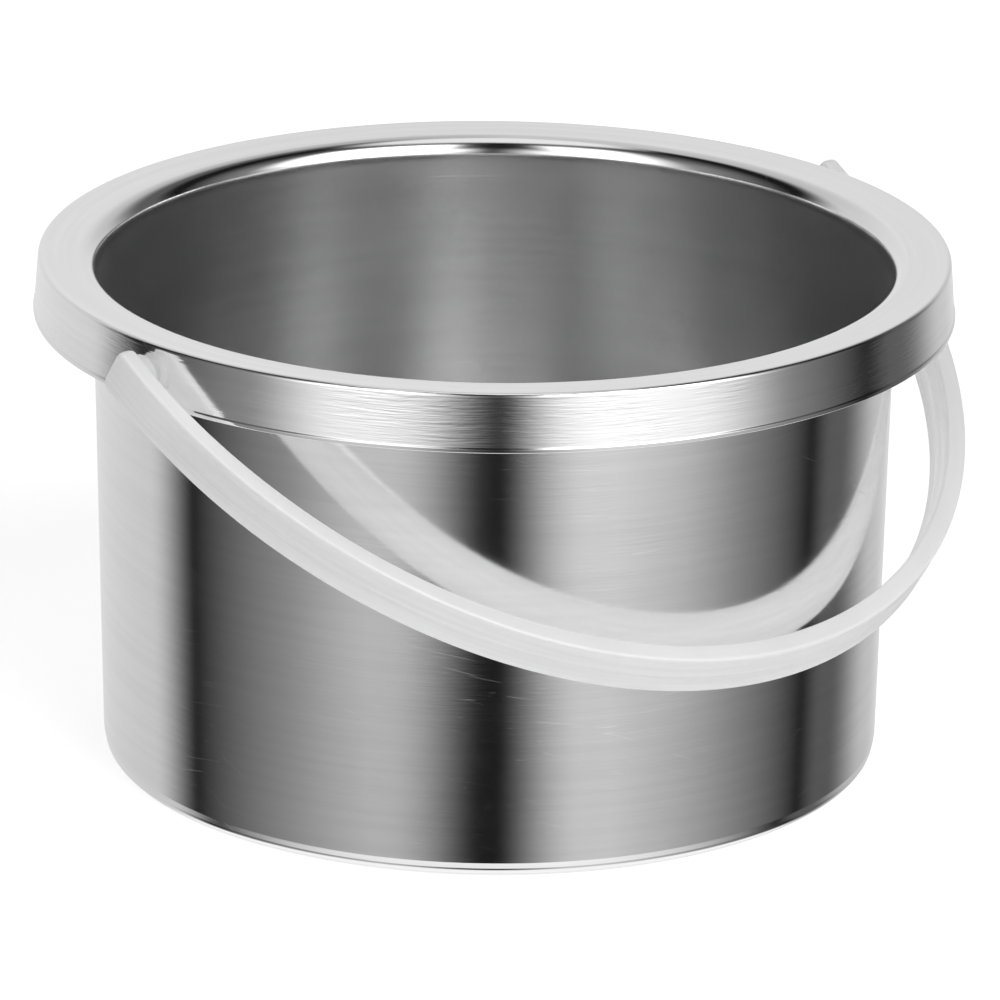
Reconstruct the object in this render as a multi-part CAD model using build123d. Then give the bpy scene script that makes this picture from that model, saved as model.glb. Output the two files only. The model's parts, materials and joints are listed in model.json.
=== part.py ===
from build123d import *
import os
from math import cos, radians, sin, tan

# A round, drawn metal pot with a downturned collar round its rim and one moulded
# bail handle, which snaps into two holes in the collar.
# Millimetres. The origin is the centre of the underside, +Z is up, X is the bail's
# pivot axis, and the bail hangs to the -Y side.

# Pot: one skin of sheet, from the flat base up the wall, out along the rim and
# down the collar.
HEIGHT = 78.6
SHEET = 0.8
BASE_RADIUS = 59.7             # wall carried down to the base plane
WALL_TAPER = 1.0               # degrees, wider at the top
FOOT_HEIGHT = 2.4              # turned band just above the base
FOOT_BAND = 0.9
FOOT_INSET = 0.18
BASE_CORNER = 1.5
BASE_CORNER_INSIDE = 2.0
COLLAR_RADIUS = 69.9           # outside of the collar at its lower edge
COLLAR_DEPTH = 8.8
COLLAR_FLARE = 4.6             # degrees
RIM_DISH = 5.0                 # degrees, falling towards the mouth
MOUTH_BEND = 2.8               # on the inside of the pot
RIM_EDGE = 0.6                 # outer corner of the rim
RIM_EDGE_INSIDE = 0.15
HEM_HEIGHT = 0.8               # bead along the collar's lower edge
HEM_PROUD = 0.12

# Bail: half an ellipse of fluted strap with plain end pads.
BAIL_HALF_SPAN = 73.2          # to the middle of the strap
BAIL_REACH = 78.4
BAIL_ANGLE = 32.2              # degrees below level at rest
STRAP_THICKNESS = 3.1
STRAP_WIDTH = 7.2
STRAP_EDGE = 0.5
LIP_WIDTH = 0.75               # plain strip along each edge of a strap face
FLUTE_DEPTH = 0.28
PARTING_RIB = 0.3              # flat rib between the two flutes of a face
PAD_ARC = 5.0                  # degrees of the half ellipse without flutes
PAD_TAIL = 3.1                 # strap beyond the pivot
PAD_CORNER = 1.3

# Pivot: a peg moulded on each pad, with a split snap head behind the collar.
PIVOT_DROP = 4.8               # below the top of the rim
PEG_RADIUS = 2.05
PEG_CLEARANCE = 0.05
SHOULDER_RADIUS = 3.2
SHOULDER_FACE = 70.35          # distance from the pot's axis
HEAD_FACE = 68.2
HEAD_TIP = 66.0
HEAD_RADIUS = 2.75
HEAD_TIP_RADIUS = 1.7
SPLIT_WIDTH = 0.7
SPLIT_DEPTH = 3.2

PIVOT_HEIGHT = HEIGHT - PIVOT_DROP


def wall_radius(height):
    """Outside radius of the wall at a height above the base."""
    return BASE_RADIUS + height * tan(radians(WALL_TAPER))


def collar_radius(height):
    """Outside radius of the collar, without its hem, at a height above the base."""
    return COLLAR_RADIUS - (height - (HEIGHT - COLLAR_DEPTH)) * tan(radians(COLLAR_FLARE))


def rim_height(radius):
    """Height of the rim's dished top face at a distance from the axis."""
    return HEIGHT - (collar_radius(HEIGHT) - radius) * tan(radians(RIM_DISH))


def meet(wall_offset, rim_offset):
    """Where the wall's line, moved in, meets the rim's line, moved down."""
    radius = wall_radius(HEIGHT) - wall_offset
    height = rim_height(radius) - rim_offset
    return wall_radius(height) - wall_offset, height


def pot_outline():
    """Closed half section of the pot, as (radius, height), in order round the skin."""
    edge_height = HEIGHT - COLLAR_DEPTH
    skin = SHEET / cos(radians(COLLAR_FLARE))
    rim_skin = SHEET / cos(radians(RIM_DISH))
    collar_inside = collar_radius(edge_height) - skin
    inner_corner = collar_radius(HEIGHT - SHEET) - skin
    foot = wall_radius(FOOT_HEIGHT) - FOOT_INSET
    outside = FilletPolyline(
        (0, 0),
        (foot - FOOT_INSET, 0),
        (foot, FOOT_HEIGHT - FOOT_BAND),
        (wall_radius(FOOT_HEIGHT), FOOT_HEIGHT),
        meet(0, rim_skin),
        (inner_corner, rim_height(inner_corner) - rim_skin),
        (collar_inside, edge_height),
        radius=[BASE_CORNER - 0.1, 0.1, 0.1, MOUTH_BEND - SHEET, RIM_EDGE_INSIDE],
    )
    inside = FilletPolyline(
        (COLLAR_RADIUS + HEM_PROUD, edge_height),
        (COLLAR_RADIUS + HEM_PROUD, edge_height + HEM_HEIGHT * 0.7),
        (collar_radius(edge_height + HEM_HEIGHT), edge_height + HEM_HEIGHT),
        (collar_radius(HEIGHT), HEIGHT),
        meet(SHEET, 0),
        (BASE_RADIUS - SHEET, SHEET),
        (0, SHEET),
        radius=[0.1, 0.1, RIM_EDGE, MOUTH_BEND, BASE_CORNER_INSIDE],
    )
    hem = Line(outside @ 1, inside @ 0)
    axis = Line(inside @ 1, outside @ 0)
    return Plane.XZ * make_face([outside, hem, inside, axis])


def on_both_sides(shape):
    """The shape and its mirror image on the other end of the pivot axis."""
    return shape + mirror(shape, about=Plane.YZ)


def pivot_cylinder(radius, far_end, near_end):
    """Round bar on the pivot axis, on the -X side, between two distances from the axis."""
    start = Plane(origin=(-far_end, 0, 0), z_dir=(1, 0, 0))
    return extrude(start * Circle(radius), far_end - near_end)


def pot_body():
    """The drawn pot, with a punched hole for each of the bail's pegs."""
    skin = revolve(pot_outline(), axis=Axis.Z)
    hole = pivot_cylinder(PEG_RADIUS + PEG_CLEARANCE, COLLAR_RADIUS + 2, COLLAR_RADIUS - 4)
    return skin - Pos(0, 0, PIVOT_HEIGHT) * on_both_sides(hole)


def strap_section(fluted):
    """Strap section, x across its thickness and y across its width."""
    face_x = STRAP_THICKNESS / 2
    top = STRAP_WIDTH / 2
    section = RectangleRounded(STRAP_THICKNESS, STRAP_WIDTH, STRAP_EDGE)
    if not fluted:
        return section
    near = PARTING_RIB / 2
    far = top - LIP_WIDTH
    for side in (-1, 1):
        for half in (-1, 1):
            start = (side * face_x, half * near)
            middle = (side * (face_x - FLUTE_DEPTH), half * (near + far) / 2)
            end = (side * face_x, half * far)
            section -= make_face([ThreePointArc(start, middle, end), Line(end, start)])
    return section


def bail_point(angle):
    """A point on the bail's centre line, in its own plane."""
    x = -BAIL_HALF_SPAN * cos(radians(angle))
    y = -BAIL_REACH * sin(radians(angle))
    return Vector(x, y, 0)


def strap(first, last, fluted):
    """Strap along the half ellipse from one angle to another."""
    path = EllipticalCenterArc(
        (0, 0), BAIL_HALF_SPAN, BAIL_REACH, start_angle=180 + first, arc_size=last - first
    )
    start = bail_point(first)
    along = path % 0
    across = Plane(origin=start, x_dir=along.cross(Vector(0, 0, 1)), z_dir=along)
    return sweep(across * strap_section(fluted), path=path)


def end_pad():
    """Plain end of the strap round the pivot, with its tail and rounded corners."""
    across = Plane(origin=(-BAIL_HALF_SPAN, 0, 0), x_dir=(1, 0, 0), z_dir=(0, 1, 0))
    tail = extrude(across * strap_section(False), PAD_TAIL)
    corners = tail.edges().filter_by(Axis.X).group_by(Axis.Y)[-1]
    tail = fillet(corners, PAD_CORNER)
    return tail + strap(0, PAD_ARC, False)


def peg():
    """Shoulder, shank and split snap head on the inner face of a pad."""
    pad_middle = BAIL_HALF_SPAN
    shoulder = pivot_cylinder(SHOULDER_RADIUS, pad_middle, SHOULDER_FACE)
    shank = pivot_cylinder(PEG_RADIUS, pad_middle, HEAD_FACE)
    head_length = HEAD_FACE - HEAD_TIP
    middle = -(HEAD_FACE + HEAD_TIP) / 2
    head_plane = Plane(origin=(middle, 0, 0), z_dir=(1, 0, 0))
    head = head_plane * Cone(HEAD_RADIUS, HEAD_TIP_RADIUS, head_length)
    split_middle = -(HEAD_TIP + SPLIT_DEPTH / 2)
    split = Pos(split_middle, 0, 0) * Box(SPLIT_DEPTH, SPLIT_WIDTH, 3 * HEAD_RADIUS)
    return shoulder + shank + head - split


def bail_handle():
    """One moulding: fluted strap, end pads and pegs, hung at its resting angle."""
    flat = strap(PAD_ARC, 180 - PAD_ARC, True) + on_both_sides(end_pad() + peg())
    return Pos(0, 0, PIVOT_HEIGHT) * Rot(BAIL_ANGLE, 0, 0) * flat


def main():
    os.makedirs("parts", exist_ok=True)
    for build in (pot_body, bail_handle):
        export_step(build(), os.path.join("parts", build.__name__ + ".step"))


main()
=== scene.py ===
import json
from math import cos, pi, radians, sin, sqrt, tan

import bmesh
import bpy
from mathutils import Matrix, Vector


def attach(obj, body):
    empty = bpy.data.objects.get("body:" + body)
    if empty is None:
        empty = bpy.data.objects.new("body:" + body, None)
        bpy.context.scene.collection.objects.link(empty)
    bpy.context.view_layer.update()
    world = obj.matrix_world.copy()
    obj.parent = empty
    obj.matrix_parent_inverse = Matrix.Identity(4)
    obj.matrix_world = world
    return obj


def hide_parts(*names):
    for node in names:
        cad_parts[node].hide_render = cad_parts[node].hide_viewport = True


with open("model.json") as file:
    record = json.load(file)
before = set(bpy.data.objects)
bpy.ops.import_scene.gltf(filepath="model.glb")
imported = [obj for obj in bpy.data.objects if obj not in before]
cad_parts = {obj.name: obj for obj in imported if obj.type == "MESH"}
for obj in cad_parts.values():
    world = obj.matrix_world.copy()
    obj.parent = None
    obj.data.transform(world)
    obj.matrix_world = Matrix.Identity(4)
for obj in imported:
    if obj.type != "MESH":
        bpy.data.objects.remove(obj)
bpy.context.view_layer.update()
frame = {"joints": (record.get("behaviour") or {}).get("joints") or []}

# ---------------------------------------------------------------- sizes, metres
MM = 0.001
HEIGHT = 78.6 * MM
SHEET = 0.8 * MM
BASE_RADIUS = 59.7 * MM
WALL_TAPER = radians(1.0)
FOOT_HEIGHT = 2.4 * MM
FOOT_BAND = 0.9 * MM
FOOT_INSET = 0.18 * MM
BASE_CORNER = 1.4 * MM
BASE_CORNER_INSIDE = 2.0 * MM
COLLAR_RADIUS = 69.9 * MM
COLLAR_DEPTH = 8.8 * MM
COLLAR_FLARE = radians(4.6)
RIM_DISH = radians(5.0)
MOUTH_BEND = 2.8 * MM
RIM_EDGE = 0.6 * MM
RIM_EDGE_INSIDE = 0.15 * MM
HEM_HEIGHT = 0.8 * MM
HEM_PROUD = 0.12 * MM
SOFT_CORNER = 0.1 * MM
HEM_CORNER = 0.15 * MM

BAIL_HALF_SPAN = 73.2 * MM
BAIL_REACH = 78.4 * MM
BAIL_ANGLE = radians(32.2)
STRAP_THICKNESS = 3.1 * MM
STRAP_WIDTH = 7.2 * MM
STRAP_EDGE = 0.5 * MM
LIP_WIDTH = 0.75 * MM
FLUTE_DEPTH = 0.28 * MM
PARTING_RIB = 0.3 * MM
PARTING_LINE = 0.03 * MM       # how far the mould's parting line stands up
PARTING_HALF_WIDTH = 0.12 * MM
PAD_ARC = radians(5.0)         # of the half ellipse, without flutes
FLUTE_FADE = radians(4.0)
PAD_TAIL = 3.1 * MM
PAD_CORNER = 1.3 * MM
PAD_ROUND = 0.9 * MM           # rounding of the strap's edges at the pads
PAD_ROUND_FADE = radians(24.0)
PAD_EDGE = 1.0 * MM
PAD_PLAIN = 0.6 * MM           # the plain end starts this far beyond the pivot

PEG_RADIUS = 2.05 * MM
HOLE_RADIUS = 2.1 * MM
SHOULDER_RADIUS = 3.2 * MM
SHOULDER_FACE = 70.35 * MM
HEAD_FACE = 68.2 * MM
HEAD_TIP = 66.0 * MM
HEAD_RADIUS = 2.75 * MM
HEAD_TIP_RADIUS = 1.7 * MM
SPLIT_WIDTH = 0.7 * MM
SPLIT_DEPTH = 3.2 * MM
HOLE_CUT_MIDDLE = 69.5 * MM    # in the collar's skin, from the axis
HOLE_CUT_LENGTH = 6.0 * MM

STEP_HEIGHT = 71.8 * MM        # a faint fill line pressed round the inside
BAIL_PIVOT = Vector(frame["joints"][0]["pos_m"])

# How fine the meshes are.
POT_SEGMENTS = 384
PEG_SEGMENTS = 48
LONGEST_RUN = 4.0 * MM
STRAP_STEPS = 260
FACE_STEPS = 36
CORNER_STEPS = 6
END_STEPS = 14
SOFT_GUARD = 0.05 * MM
WELD = 0.003 * MM
SHARP_TURN = radians(35.0)

# ---------------------------------------------------------------- mesh helpers


def rounded_line(points, radii, steps=8, guard=0.12 * MM):
    """An open outline with its inner corners rounded, as a list of (x, y).

    Each arc has a point close to it on both sides, so that smooth shading keeps
    the straight stretches straight.
    """
    outline = [Vector(points[0])]
    for before, corner, after, radius in zip(points, points[1:], points[2:], radii):
        corner = Vector(corner)
        towards_before = (Vector(before) - corner).normalized()
        towards_after = (Vector(after) - corner).normalized()
        half = towards_before.angle(towards_after) / 2
        leg = radius / tan(half)
        centre_way = (towards_before + towards_after).normalized()
        centre = corner + centre_way * (radius / sin(half))
        start = corner + towards_before * leg
        end = corner + towards_after * leg
        outline.append(start + towards_before * guard)
        first = start - centre
        turn = first.angle_signed(end - centre)
        for step in range(steps + 1):
            spin = Matrix.Rotation(-turn * step / steps, 2)
            outline.append(centre + spin @ first)
        outline.append(end + towards_after * guard)
    outline.append(Vector(points[-1]))
    return outline


def spread(outline, longest):
    """The same outline with no run longer than a given length."""
    result = [outline[0]]
    for a, b in zip(outline, outline[1:]):
        count = max(1, int((b - a).length / longest + 0.999))
        for k in range(1, count + 1):
            result.append(a.lerp(b, k / count))
    return result


def new_object(name, mesh):
    obj = bpy.data.objects.new(name, mesh)
    bpy.context.scene.collection.objects.link(obj)
    return obj


def lathe(name, outline, segments):
    """Closed outline of (radius, height) turned about Z; points on the axis become one."""
    bm = bmesh.new()
    rings = []
    for radius, height in outline:
        if radius < 1e-7:
            rings.append([bm.verts.new((0, 0, height))])
            continue
        ring = []
        for k in range(segments):
            a = 2 * pi * k / segments
            ring.append(bm.verts.new((radius * cos(a), radius * sin(a), height)))
        rings.append(ring)
    for lower, upper in zip(rings, rings[1:] + rings[:1]):
        for k in range(segments):
            n = (k + 1) % segments
            quad = [lower[k % len(lower)], lower[n % len(lower)]]
            quad += [upper[n % len(upper)], upper[k % len(upper)]]
            corners = list(dict.fromkeys(quad))
            if len(corners) > 2:
                bm.faces.new(corners)
    bmesh.ops.recalc_face_normals(bm, faces=bm.faces)
    for face in bm.faces:
        face.smooth = True
    mesh = bpy.data.meshes.new(name)
    bm.to_mesh(mesh)
    bm.free()
    return new_object(name, mesh)


def boolean(obj, cutter, operation):
    """Joins another solid to obj, or cuts it away, and removes it."""
    modifier = obj.modifiers.new("boolean", "BOOLEAN")
    modifier.object = cutter
    modifier.operation = operation
    modifier.solver = "EXACT"
    bpy.context.view_layer.update()
    depsgraph = bpy.context.evaluated_depsgraph_get()
    mesh = bpy.data.meshes.new_from_object(obj.evaluated_get(depsgraph))
    obj.modifiers.clear()
    obj.data = mesh
    bpy.data.objects.remove(cutter)


def finish_mesh(obj, sharp_turn):
    """Welds points that coincide and shades smooth, apart from edges that turn sharply."""
    mesh = obj.data
    bm = bmesh.new()
    bm.from_mesh(mesh)
    bmesh.ops.remove_doubles(bm, verts=bm.verts, dist=WELD)
    bmesh.ops.dissolve_degenerate(bm, edges=bm.edges, dist=WELD)
    bm.to_mesh(mesh)
    bm.free()
    mesh.shade_smooth()
    mesh.set_sharp_from_angle(angle=sharp_turn)


# ---------------------------------------------------------------- pot


def wall_radius(height):
    return BASE_RADIUS + height * tan(WALL_TAPER)


def collar_radius(height):
    return COLLAR_RADIUS - (height - (HEIGHT - COLLAR_DEPTH)) * tan(COLLAR_FLARE)


def rim_height(radius):
    return HEIGHT - (collar_radius(HEIGHT) - radius) * tan(RIM_DISH)


def meet(wall_offset, rim_offset):
    """Where the wall's line, moved in, meets the rim's line, moved down."""
    radius = wall_radius(HEIGHT) - wall_offset
    height = rim_height(radius) - rim_offset
    return wall_radius(height) - wall_offset, height


def pot_outline():
    """The pot's half section: up its outside and collar, then back down its inside."""
    edge_height = HEIGHT - COLLAR_DEPTH
    skin = SHEET / cos(COLLAR_FLARE)
    rim_skin = SHEET / cos(RIM_DISH)
    collar_inside = collar_radius(edge_height) - skin
    inner_corner = collar_radius(HEIGHT - SHEET) - skin
    foot = wall_radius(FOOT_HEIGHT) - FOOT_INSET
    outside = rounded_line(
        [
            (0, 0),
            (foot - FOOT_INSET, 0),
            (foot, FOOT_HEIGHT - FOOT_BAND),
            (wall_radius(FOOT_HEIGHT), FOOT_HEIGHT),
            meet(0, rim_skin),
            (inner_corner, rim_height(inner_corner) - rim_skin),
            (collar_inside, edge_height),
        ],
        [BASE_CORNER, SOFT_CORNER, SOFT_CORNER, MOUTH_BEND - SHEET, RIM_EDGE_INSIDE],
        guard=SOFT_GUARD,
    )
    hem = COLLAR_RADIUS + HEM_PROUD
    inside = rounded_line(
        [
            (collar_inside, edge_height),
            (hem, edge_height),
            (hem, edge_height + HEM_HEIGHT * 0.7),
            (collar_radius(edge_height + HEM_HEIGHT), edge_height + HEM_HEIGHT),
            (collar_radius(HEIGHT), HEIGHT),
            meet(SHEET, 0),
            (BASE_RADIUS - SHEET, SHEET),
            (0, SHEET),
        ],
        [HEM_CORNER, SOFT_CORNER, SOFT_CORNER, RIM_EDGE, MOUTH_BEND, BASE_CORNER_INSIDE],
        guard=SOFT_GUARD,
    )
    return spread(outside + inside[1:], LONGEST_RUN)


def peg_hole(side):
    """A bar through the collar where one peg goes."""
    bpy.ops.mesh.primitive_cylinder_add(
        vertices=PEG_SEGMENTS, radius=HOLE_RADIUS, depth=HOLE_CUT_LENGTH
    )
    bar = bpy.context.object
    middle = BAIL_PIVOT + Vector((side * HOLE_CUT_MIDDLE, 0, 0))
    bar.matrix_world = Matrix.Translation(middle) @ Matrix.Rotation(pi / 2, 4, "Y")
    return bar


def build_pot():
    pot = lathe("pot_shell", pot_outline(), POT_SEGMENTS)
    for side in (-1, 1):
        boolean(pot, peg_hole(side), "DIFFERENCE")
    finish_mesh(pot, SHARP_TURN)
    pot.data.materials.clear()
    pot.data.materials.append(spun_metal())
    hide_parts("pot_body")
    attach(pot, "pot")
    return pot


# ---------------------------------------------------------------- bail


def face_dip(across, fluting):
    """How far a strap face lies below its lips, at a distance from the middle of its width."""
    near = PARTING_RIB / 2
    far = STRAP_WIDTH / 2 - LIP_WIDTH
    line = fluting * PARTING_LINE * max(0.0, 1 - (across / PARTING_HALF_WIDTH) ** 2)
    if not near < abs(across) < far:
        return -line
    share = (abs(across) - near) / (far - near)
    return fluting * FLUTE_DEPTH * 4 * share * (1 - share) - line


def strap_ring(half_thickness, half_width, edge, fluting):
    """Section of the strap as (out, across) points, anticlockwise from the outer face."""
    points = []
    for side in (1, -1):
        for k in range(FACE_STEPS + 1):
            across = side * (half_width - edge) * (2 * k / FACE_STEPS - 1)
            dip = face_dip(across * STRAP_WIDTH / 2 / half_width, fluting)
            points.append((side * (half_thickness - dip), across))
        for k in range(1, CORNER_STEPS):
            a = pi / 2 * k / CORNER_STEPS
            out = half_thickness - edge + edge * cos(a)
            points.append((side * out, side * (half_width - edge + edge * sin(a))))
        for share in (1, 0, -1):
            points.append((side * (half_thickness - edge) * share, side * half_width))
        for k in range(1, CORNER_STEPS):
            a = pi / 2 + pi / 2 * k / CORNER_STEPS
            out = -(half_thickness - edge) + edge * cos(a)
            points.append((side * out, side * (half_width - edge + edge * sin(a))))
    return points


def eased(share):
    """0 up to 0, 1 from 1, and a smooth rise between them."""
    held = min(1.0, max(0.0, share))
    return held * held * (3 - 2 * held)


def tail_rings():
    """Rings of the plain end beyond the pivot, from its tip back, on the -X side."""
    half_width = STRAP_WIDTH / 2
    half_thickness = STRAP_THICKNESS / 2
    out = Vector((-1, 0, 0))
    rings = []
    for k in range(END_STEPS + 1):
        a = pi / 2 * (1 - k / END_STEPS)
        reach = PAD_TAIL - PAD_CORNER + PAD_CORNER * sin(a)
        width = half_width - PAD_CORNER + PAD_CORNER * cos(a)
        depth = PAD_TAIL - reach
        trim = 0.0
        if depth < PAD_EDGE:
            trim = PAD_EDGE - sqrt(PAD_EDGE ** 2 - (PAD_EDGE - depth) ** 2)
        thickness = half_thickness - trim
        edge = min(PAD_ROUND, 0.9 * width, 0.9 * thickness)
        centre = Vector((-BAIL_HALF_SPAN, reach, 0))
        rings.append((centre, out, thickness, width, edge, 0))
    centre = Vector((-BAIL_HALF_SPAN, PAD_PLAIN, 0))
    rings.append((centre, out, half_thickness, half_width, PAD_ROUND, 0))
    return rings


def bail_rings():
    """Rings of the whole strap, in the bail's own plane, from the -X end to the +X end."""
    half_width = STRAP_WIDTH / 2
    half_thickness = STRAP_THICKNESS / 2
    rings = tail_rings()
    for k in range(STRAP_STEPS + 1):
        angle = pi * k / STRAP_STEPS
        centre = Vector((-BAIL_HALF_SPAN * cos(angle), -BAIL_REACH * sin(angle), 0))
        out = Vector((-cos(angle) / BAIL_HALF_SPAN, -sin(angle) / BAIL_REACH, 0)).normalized()
        near_end = min(angle, pi - angle)
        fluting = eased((near_end - PAD_ARC) / FLUTE_FADE)
        edge = PAD_ROUND + (STRAP_EDGE - PAD_ROUND) * eased(near_end / PAD_ROUND_FADE)
        rings.append((centre, out, half_thickness, half_width, edge, fluting))
    for centre, out, thickness, width, edge, fluting in reversed(tail_rings()):
        centre = Vector((-centre.x, centre.y, 0))
        rings.append((centre, -out, thickness, width, edge, fluting))
    return rings


def build_strap():
    bm = bmesh.new()
    up = Vector((0, 0, 1))
    loops = []
    for centre, out, thickness, width, edge, fluting in bail_rings():
        section = strap_ring(thickness, width, edge, fluting)
        loops.append([bm.verts.new(centre + out * o + up * w) for o, w in section])
    size = len(loops[0])
    for a, b in zip(loops, loops[1:]):
        for k in range(size):
            n = (k + 1) % size
            bm.faces.new((a[k], a[n], b[n], b[k]))
    bm.faces.new(loops[0])
    bm.faces.new(loops[-1])
    bmesh.ops.recalc_face_normals(bm, faces=bm.faces)
    mesh = bpy.data.meshes.new("bail")
    bm.to_mesh(mesh)
    bm.free()
    return new_object("bail", mesh)


def build_peg(side):
    """Shoulder, shank and snap head, turned about the pivot axis, in the bail's plane."""
    outline = [
        (0, BAIL_HALF_SPAN),
        (SHOULDER_RADIUS, BAIL_HALF_SPAN),
        (SHOULDER_RADIUS, SHOULDER_FACE),
        (PEG_RADIUS, SHOULDER_FACE),
        (PEG_RADIUS, HEAD_FACE),
        (HEAD_RADIUS, HEAD_FACE),
        (HEAD_TIP_RADIUS, HEAD_TIP),
        (0, HEAD_TIP),
    ]
    round_offs = [0.05, 0.2, 0.15, 0.1, 0.12, 0.3]
    line = rounded_line(outline, [r * MM for r in round_offs], steps=4, guard=0.02 * MM)
    peg = lathe("peg", line, PEG_SEGMENTS)
    peg.data.transform(Matrix.Rotation(side * pi / 2, 4, "Y"))
    bpy.ops.mesh.primitive_cube_add(size=1)
    split = bpy.context.object
    split.scale = (SPLIT_DEPTH, SPLIT_WIDTH, 3 * HEAD_RADIUS)
    split.location = (side * (HEAD_TIP + SPLIT_DEPTH / 2), 0, 0)
    boolean(peg, split, "DIFFERENCE")
    return peg


def build_bail():
    bail = build_strap()
    for side in (-1, 1):
        boolean(bail, build_peg(side), "UNION")
    hang = Matrix.Translation(BAIL_PIVOT) @ Matrix.Rotation(BAIL_ANGLE, 4, "X")
    bail.data.transform(hang)
    finish_mesh(bail, SHARP_TURN)
    bail.data.materials.clear()
    bail.data.materials.append(milky_plastic())
    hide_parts("bail_handle")
    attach(bail, "bail")
    return bail


# ---------------------------------------------------------------- material helpers


class Nodes:
    """Short calls for building one node tree."""

    def __init__(self, tree):
        self.tree = tree
        tree.nodes.clear()

    def add(self, kind, **settings):
        node = self.tree.nodes.new(kind)
        for name, value in settings.items():
            setattr(node, name, value)
        return node

    def link(self, output, socket):
        self.tree.links.new(output, socket)

    def set(self, node, name, value):
        """Sets or links an input of a node by its name or number."""
        socket = node.inputs[name]
        if isinstance(value, bpy.types.NodeSocket):
            self.link(value, socket)
        else:
            socket.default_value = value

    def math(self, operation, *values):
        node = self.add("ShaderNodeMath", operation=operation)
        for k, value in enumerate(values):
            self.set(node, k, value)
        return node.outputs[0]

    def times(self, *values):
        result = values[0]
        for value in values[1:]:
            result = self.math("MULTIPLY", result, value)
        return result

    def total(self, *values):
        result = values[0]
        for value in values[1:]:
            result = self.math("ADD", result, value)
        return result

    def dot(self, vector, fixed):
        node = self.add("ShaderNodeVectorMath", operation="DOT_PRODUCT")
        self.set(node, 0, vector)
        self.set(node, 1, fixed)
        return node.outputs["Value"]

    def parts(self, vector):
        node = self.add("ShaderNodeSeparateXYZ")
        self.link(vector, node.inputs[0])
        return node.outputs

    def grey(self, tone):
        node = self.add("ShaderNodeCombineColor")
        for k in range(3):
            self.set(node, k, tone)
        return node.outputs[0]

    def finish(self, shader):
        output = self.add("ShaderNodeOutputMaterial")
        self.link(shader.outputs[0], output.inputs["Surface"])

    def slope(self, value, low, high, start=0.0, end=1.0, kind="LINEAR"):
        """Goes from start to end as value goes from low to high, and stays level outside."""
        node = self.add("ShaderNodeMapRange", interpolation_type=kind)
        for k, v in enumerate((value, low, high, start, end)):
            self.set(node, k, v)
        return node.outputs[0]

    def smooth_step(self, value, low, high, start=0.0, end=1.0):
        return self.slope(value, low, high, start, end, "SMOOTHSTEP")

    def smooth_fall(self, value, low, high):
        return self.smooth_step(value, low, high, 1.0, 0.0)

    def combine(self, x, y, z):
        node = self.add("ShaderNodeCombineXYZ")
        for k, value in enumerate((x, y, z)):
            self.set(node, k, value)
        return node.outputs[0]

    def noise(self, vector, scale, detail=2.0, roughness=0.5):
        node = self.add("ShaderNodeTexNoise")
        self.set(node, "Vector", vector)
        self.set(node, "Scale", scale)
        self.set(node, "Detail", detail)
        self.set(node, "Roughness", roughness)
        return node.outputs["Fac"]

    def bump(self, height, distance, strength=1.0, normal=None):
        node = self.add("ShaderNodeBump")
        self.set(node, "Height", height)
        self.set(node, "Distance", distance)
        self.set(node, "Strength", strength)
        if normal is not None:
            self.set(node, "Normal", normal)
        return node.outputs["Normal"]


def new_material(name):
    material = bpy.data.materials.new(name)
    material.use_nodes = True
    return material, Nodes(material.node_tree)


# ---------------------------------------------------------------- materials


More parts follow.
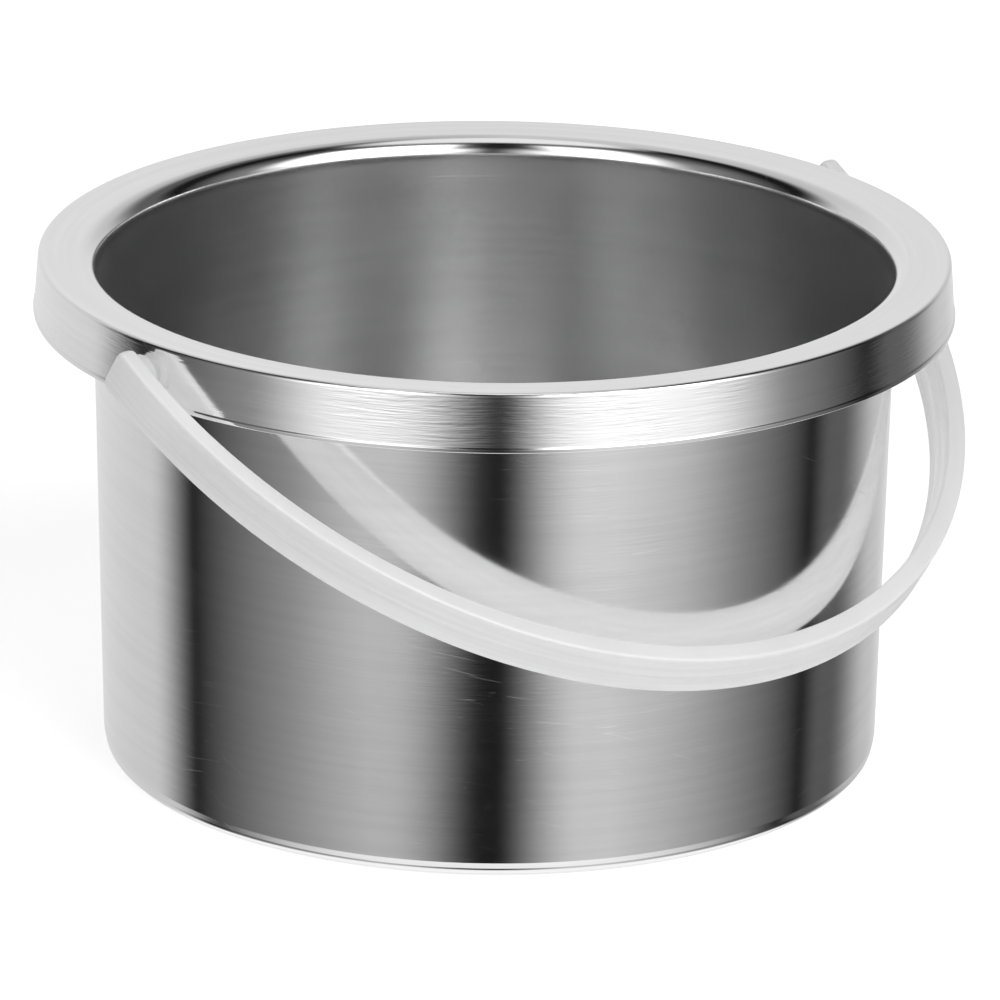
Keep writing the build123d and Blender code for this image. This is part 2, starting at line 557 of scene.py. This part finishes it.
def spun_metal():
    """Bright drawn sheet: fine lines, hairline scratches, a scuffed collar, a duller inside."""
    material, n = new_material("spun_metal")
    place = n.add("ShaderNodeTexCoord").outputs["Object"]
    x, y, z = n.parts(place)
    radius = n.math("SQRT", n.total(n.times(x, x), n.times(y, y)))
    off_axis = n.math("MAXIMUM", radius, 0.1 * MM)
    round_x = n.math("DIVIDE", x, off_axis)
    round_y = n.math("DIVIDE", y, off_axis)
    across = n.math("SUBTRACT", z, radius)

    def ring_noise(around, fine, detail):
        """Noise drawn out round the pot: slow around it, fine across the lines."""
        parts = (n.times(round_x, around), n.times(round_y, around), n.times(across, fine))
        return n.noise(n.combine(*parts), 1.0, detail)

    def hairlines(tilt, turn):
        """Thin straight scratches: where noise in thin tilted sheets is highest."""
        lean, way = radians(tilt), radians(turn)
        thin = Vector((cos(way) * sin(lean), sin(way) * sin(lean), cos(lean)))
        along = thin.cross(Vector((-sin(way), cos(way), 0))).normalized()
        fine, slow = 4200, 70
        sheets = n.combine(
            n.dot(place, thin * fine),
            n.dot(place, along * slow),
            n.dot(place, thin.cross(along) * slow),
        )
        return n.smooth_step(n.noise(sheets, 1.0, 1.0), 0.72, 0.77)

    # Which part of the sheet this is.
    wall_here = n.total(n.times(z, tan(WALL_TAPER)), BASE_RADIUS)
    depth = n.math("SUBTRACT", wall_here, radius)
    behind_wall = n.smooth_step(depth, 0.3 * MM, 0.5 * MM)
    above_floor = n.smooth_step(z, 0.3 * MM, 0.5 * MM)
    below_mouth = n.smooth_fall(z, HEIGHT - 4.4 * MM, HEIGHT - 3.2 * MM)
    inside = n.times(behind_wall, above_floor, below_mouth)
    collar_edge = HEIGHT - COLLAR_DEPTH
    far_out = n.smooth_step(radius, COLLAR_RADIUS - 1.6 * MM, COLLAR_RADIUS - 1.2 * MM)
    high_up = n.smooth_step(z, collar_edge + 0.6 * MM, collar_edge + 1.4 * MM)
    collar = n.times(far_out, high_up)

    # The marks on it.
    fine_lines = ring_noise(around=4.0, fine=4600.0, detail=2.0)
    streaks = ring_noise(around=13.0, fine=3000.0, detail=3.0)
    broad_lines = ring_noise(around=1.2, fine=700.0, detail=2.0)
    mottle = n.noise(place, 160.0, 4.0, 0.6)
    patches = n.smooth_step(n.noise(place, 45.0, 2.0), 0.42, 0.6)
    scratches = n.math("MAXIMUM", hairlines(28, 20), hairlines(-33, 65))
    scratches = n.math("MAXIMUM", scratches, n.smooth_step(streaks, 0.67, 0.73))
    fewer_inside = n.total(1.0, n.times(inside, -0.85))
    scratches = n.times(scratches, n.math("MAXIMUM", patches, 0.35), fewer_inside)

    shader = n.add("ShaderNodeBsdfPrincipled")
    tone = n.total(n.smooth_step(broad_lines, 0.3, 0.7, 0.89, 0.93), n.times(inside, -0.06))
    n.set(shader, "Base Color", n.grey(tone))
    n.set(shader, "Metallic", 1.0)
    n.set(shader, "Anisotropic", n.total(0.6, n.times(inside, -0.2)))
    n.set(shader, "Anisotropic Rotation", 0.25)
    tangent = n.add("ShaderNodeTangent", direction_type="RADIAL", axis="Z")
    n.link(tangent.outputs[0], shader.inputs["Tangent"])
    rough = n.total(
        n.smooth_step(mottle, 0.3, 0.7, 0.09, 0.115),
        n.times(inside, 0.12),
        n.times(scratches, 0.15),
        n.times(collar, streaks, 0.05),
    )
    n.set(shader, "Roughness", rough)

    scuff_share = n.times(n.total(n.times(collar, 0.9), 0.1), n.total(n.times(patches, 0.9), 0.1))
    scuffs = n.times(n.math("SUBTRACT", streaks, 0.5), scuff_share)
    fill_line = n.times(inside, n.smooth_step(z, STEP_HEIGHT, STEP_HEIGHT + 0.25 * MM))
    normal = n.bump(scuffs, 0.05 * MM)
    normal = n.bump(fine_lines, 0.0018 * MM, 1.0, normal)
    normal = n.bump(fill_line, 0.012 * MM, 1.0, normal)
    normal = n.bump(n.noise(place, 30.0, 1.0), 0.2 * MM, 0.15, normal)
    n.set(shader, "Normal", normal)
    n.finish(shader)
    return material


def milky_plastic():
    """Natural polypropylene: milky, letting light through, with a satin skin, a painted highlight
    along its edges and painted shade in its flutes.
    """
    material, n = new_material("milky_plastic")
    place = n.add("ShaderNodeTexCoord").outputs["Object"]
    # Distance from the middle of the strap's width.
    width_way = Vector((0, -sin(BAIL_ANGLE), cos(BAIL_ANGLE)))
    across = n.total(n.dot(place, width_way), -BAIL_PIVOT.dot(width_way))
    aside = n.math("ABSOLUTE", across)
    # Painted highlight: a thin band along each long edge gets a lighter colour and more of the
    # reflecting skin, standing in for glints on the rounded edges.
    edge = n.smooth_step(aside, STRAP_WIDTH / 2 - 0.32 * MM, STRAP_WIDTH / 2 - 0.16 * MM)
    # Painted shade: the flutes between the middle rib and the lips get a slightly darker colour,
    # standing in for the shade in these hollows.
    past_rib = n.smooth_step(aside, 0.2 * MM, 0.6 * MM)
    short_of_lip = n.smooth_fall(aside, 2.3 * MM, 3.0 * MM)
    flute_painted_shade = n.times(past_rib, short_of_lip)
    drawn_out = n.combine(n.dot(place, Vector((45, 0, 0))), n.times(across, 1500.0), 0.0)
    flow = n.noise(drawn_out, 1.0, 3.0)

    tone = n.smooth_step(flow, 0.3, 0.7, 0.87, 0.94)
    # Colour: flow marks, plus the painted highlight on the edges and the painted shade in the
    # flutes.
    tone = n.total(tone, n.times(edge, 0.06), n.times(flute_painted_shade, -0.03))
    skin = n.add("ShaderNodeBsdfPrincipled")
    n.set(skin, "Base Color", n.grey(tone))
    n.set(skin, "Roughness", n.smooth_step(n.noise(place, 400.0, 3.0), 0.3, 0.7, 0.16, 0.24))
    n.set(skin, "IOR", 1.5)
    n.set(skin, "Normal", n.bump(n.noise(place, 600.0, 2.0), 0.01 * MM, 0.4))
    through = n.add("ShaderNodeBsdfTranslucent")
    n.set(through, "Color", n.grey(n.smooth_step(flow, 0.3, 0.7, 0.94, 0.98)))
    mix = n.add("ShaderNodeMixShader")
    # Less light through and more reflecting skin along the edges: part of the painted highlight.
    n.set(mix, 0, n.total(0.72, n.times(edge, -0.35)))
    n.link(skin.outputs[0], mix.inputs[1])
    n.link(through.outputs[0], mix.inputs[2])
    n.finish(mix)
    return material


# ---------------------------------------------------------------- studio

CAMERA_AZIMUTH = -43.6
CAMERA_ELEVATION = 19.15
CAMERA_DISTANCE = 1.093
CAMERA_TARGET = Vector((0, 0, 43.56 * MM))
CAMERA_ROLL = 0.012            # radians
CAMERA_OFFSET = (1.165 * MM, -5.12 * MM)   # of the aim from the target, in the picture's plane
PICTURE_FOCAL = 7.128          # focal length in picture widths


def build_camera():
    azimuth, elevation = radians(CAMERA_AZIMUTH), radians(CAMERA_ELEVATION)
    back = Vector((sin(azimuth) * cos(elevation), -cos(azimuth) * cos(elevation), sin(elevation)))
    right = Vector((cos(azimuth), sin(azimuth), 0))
    up = back.cross(right)
    rolled_right = cos(CAMERA_ROLL) * right + sin(CAMERA_ROLL) * up
    rolled_up = cos(CAMERA_ROLL) * up - sin(CAMERA_ROLL) * right
    place = CAMERA_TARGET + back * CAMERA_DISTANCE
    aim = CAMERA_TARGET + rolled_right * CAMERA_OFFSET[0] + rolled_up * CAMERA_OFFSET[1]
    look = (place - aim).normalized()
    side = rolled_up.cross(look).normalized()
    top = look.cross(side)
    data = bpy.data.cameras.new("camera")
    data.sensor_width = 36.0
    data.lens = PICTURE_FOCAL * data.sensor_width
    data.clip_start = 0.01
    data.clip_end = 50.0
    camera = new_object("camera", data)
    turn = Matrix((side, top, look)).transposed().to_4x4()
    camera.matrix_world = Matrix.Translation(place) @ turn
    bpy.context.scene.camera = camera


def build_floor():
    mesh = bpy.data.meshes.new("floor")
    size = 4.0
    corners = [(-size, -size, 0), (size, -size, 0), (size, size, 0), (-size, size, 0)]
    mesh.from_pydata(corners, [], [(0, 1, 2, 3)])
    floor = new_object("floor", mesh)
    material, n = new_material("pale_floor")
    shader = n.add("ShaderNodeBsdfDiffuse")
    n.set(shader, "Color", (0.8, 0.8, 0.8, 1))
    glow = n.add("ShaderNodeEmission")
    n.set(glow, "Strength", 0.62)
    lit = n.add("ShaderNodeAddShader")
    n.link(shader.outputs[0], lit.inputs[0])
    n.link(glow.outputs[0], lit.inputs[1])
    n.finish(lit)
    mesh.materials.append(material)
    floor.visible_glossy = False


def build_world():
    """A white studio: panels of light round the pot, with dark gaps between them.

    Directions are degrees round from the camera's side, positive to the camera's
    right, and degrees above level.
    """
    world = bpy.data.worlds.new("studio")
    bpy.context.scene.world = world
    world.use_nodes = True
    n = Nodes(world.node_tree)
    way = n.add("ShaderNodeTexCoord").outputs["Generated"]
    x, y, z = n.parts(way)
    turn = radians(CAMERA_AZIMUTH)
    forward = n.math("SUBTRACT", n.times(x, sin(turn)), n.times(y, cos(turn)))
    rightward = n.total(n.times(x, cos(turn)), n.times(y, sin(turn)))
    azimuth = n.times(n.math("ARCTAN2", rightward, forward), 180 / pi)
    elevation = n.times(n.math("ARCSINE", z), 180 / pi)
    aside = n.math("ABSOLUTE", azimuth)

    # Two long low screens in front, dimmer higher up, with a dark gap between them.
    dimming = n.slope(elevation, 30, 60, 1, 0.3)
    screen_right = n.times(n.smooth_step(azimuth, 2, 28), n.slope(azimuth, 36, 105, 1, 0))
    screen_left = n.times(n.smooth_fall(azimuth, -30, -2), n.slope(azimuth, -97, -36))
    screens = n.times(dimming, n.total(n.times(screen_right, 0.55), n.times(screen_left, 0.42)))

    # A bright lamp above each screen, brightest where it is well raised.
    raised = n.slope(elevation, 10, 20)
    strength_right = n.total(n.times(raised, 1.3), 1.2)
    strength_left = n.total(n.times(raised, 0.1), 1.12)
    lamp_right = n.times(n.smooth_step(azimuth, 0, 18), n.smooth_fall(azimuth, 50, 80))
    lamp_left = n.times(n.smooth_fall(azimuth, -20, 4), n.smooth_step(azimuth, -63, -38))
    lamps = n.total(n.times(lamp_right, strength_right), n.times(lamp_left, strength_left))
    height_range = n.times(n.slope(elevation, -24, 8), n.smooth_fall(elevation, 50, 62))
    parted = n.math("MAXIMUM", n.smooth_step(aside, 9, 22), n.smooth_fall(elevation, 10, 40))
    lamps = n.times(lamps, height_range, parted)

    # The white sweep behind, past a dark gap on each side, leaning in as it rises.
    lean = n.times(n.math("MAXIMUM", elevation, 0), 0.35)
    left_way = n.total(azimuth, lean)
    right_way = n.math("SUBTRACT", azimuth, lean)
    sweep = n.total(
        n.times(n.smooth_fall(left_way, -118, -95), 0.674),
        n.times(n.slope(left_way, -170, -115, 1, 0), 0.138),
        n.times(n.smooth_step(right_way, 103, 115), 0.104),
        n.times(n.smooth_step(right_way, 120, 148), 0.49),
        n.times(n.smooth_step(right_way, 145, 175), 0.197),
    )
    near_floor = n.slope(elevation, -22, -14, 0.86, 1)
    above_level = n.slope(elevation, -10, 15, 1, 0.94)
    near_top = n.slope(elevation, 24, 45, 1, 0.8)
    sweep = n.times(sweep, near_floor, above_level, near_top)

    # A panel straight above, and the bright table close round the foot.
    overhead = n.smooth_step(elevation, 66.0, 76.0)
    under = n.smooth_fall(elevation, -46.0, -36.0)
    level = n.math("SUBTRACT", n.math("SUBTRACT", 1.0, overhead), under)
    dim_room = 0.01
    around = n.total(screens, lamps, sweep, dim_room)
    light = n.total(n.times(around, level), n.times(overhead, 0.85), under)

    # The camera sees plain white behind the floor's edge.
    studio = n.add("ShaderNodeBackground")
    n.set(studio, "Color", (1, 1, 1, 1))
    n.set(studio, "Strength", light)
    white = n.add("ShaderNodeBackground")
    n.set(white, "Color", (1, 1, 1, 1))
    n.set(white, "Strength", 1.0)
    mix = n.add("ShaderNodeMixShader")
    n.link(n.add("ShaderNodeLightPath").outputs["Is Camera Ray"], mix.inputs[0])
    n.link(studio.outputs[0], mix.inputs[1])
    n.link(white.outputs[0], mix.inputs[2])
    output = n.add("ShaderNodeOutputWorld")
    n.link(mix.outputs[0], output.inputs["Surface"])


bpy.context.scene.view_settings.view_transform = "Standard"
build_pot()
build_bail()
build_camera()
build_floor()
build_world()
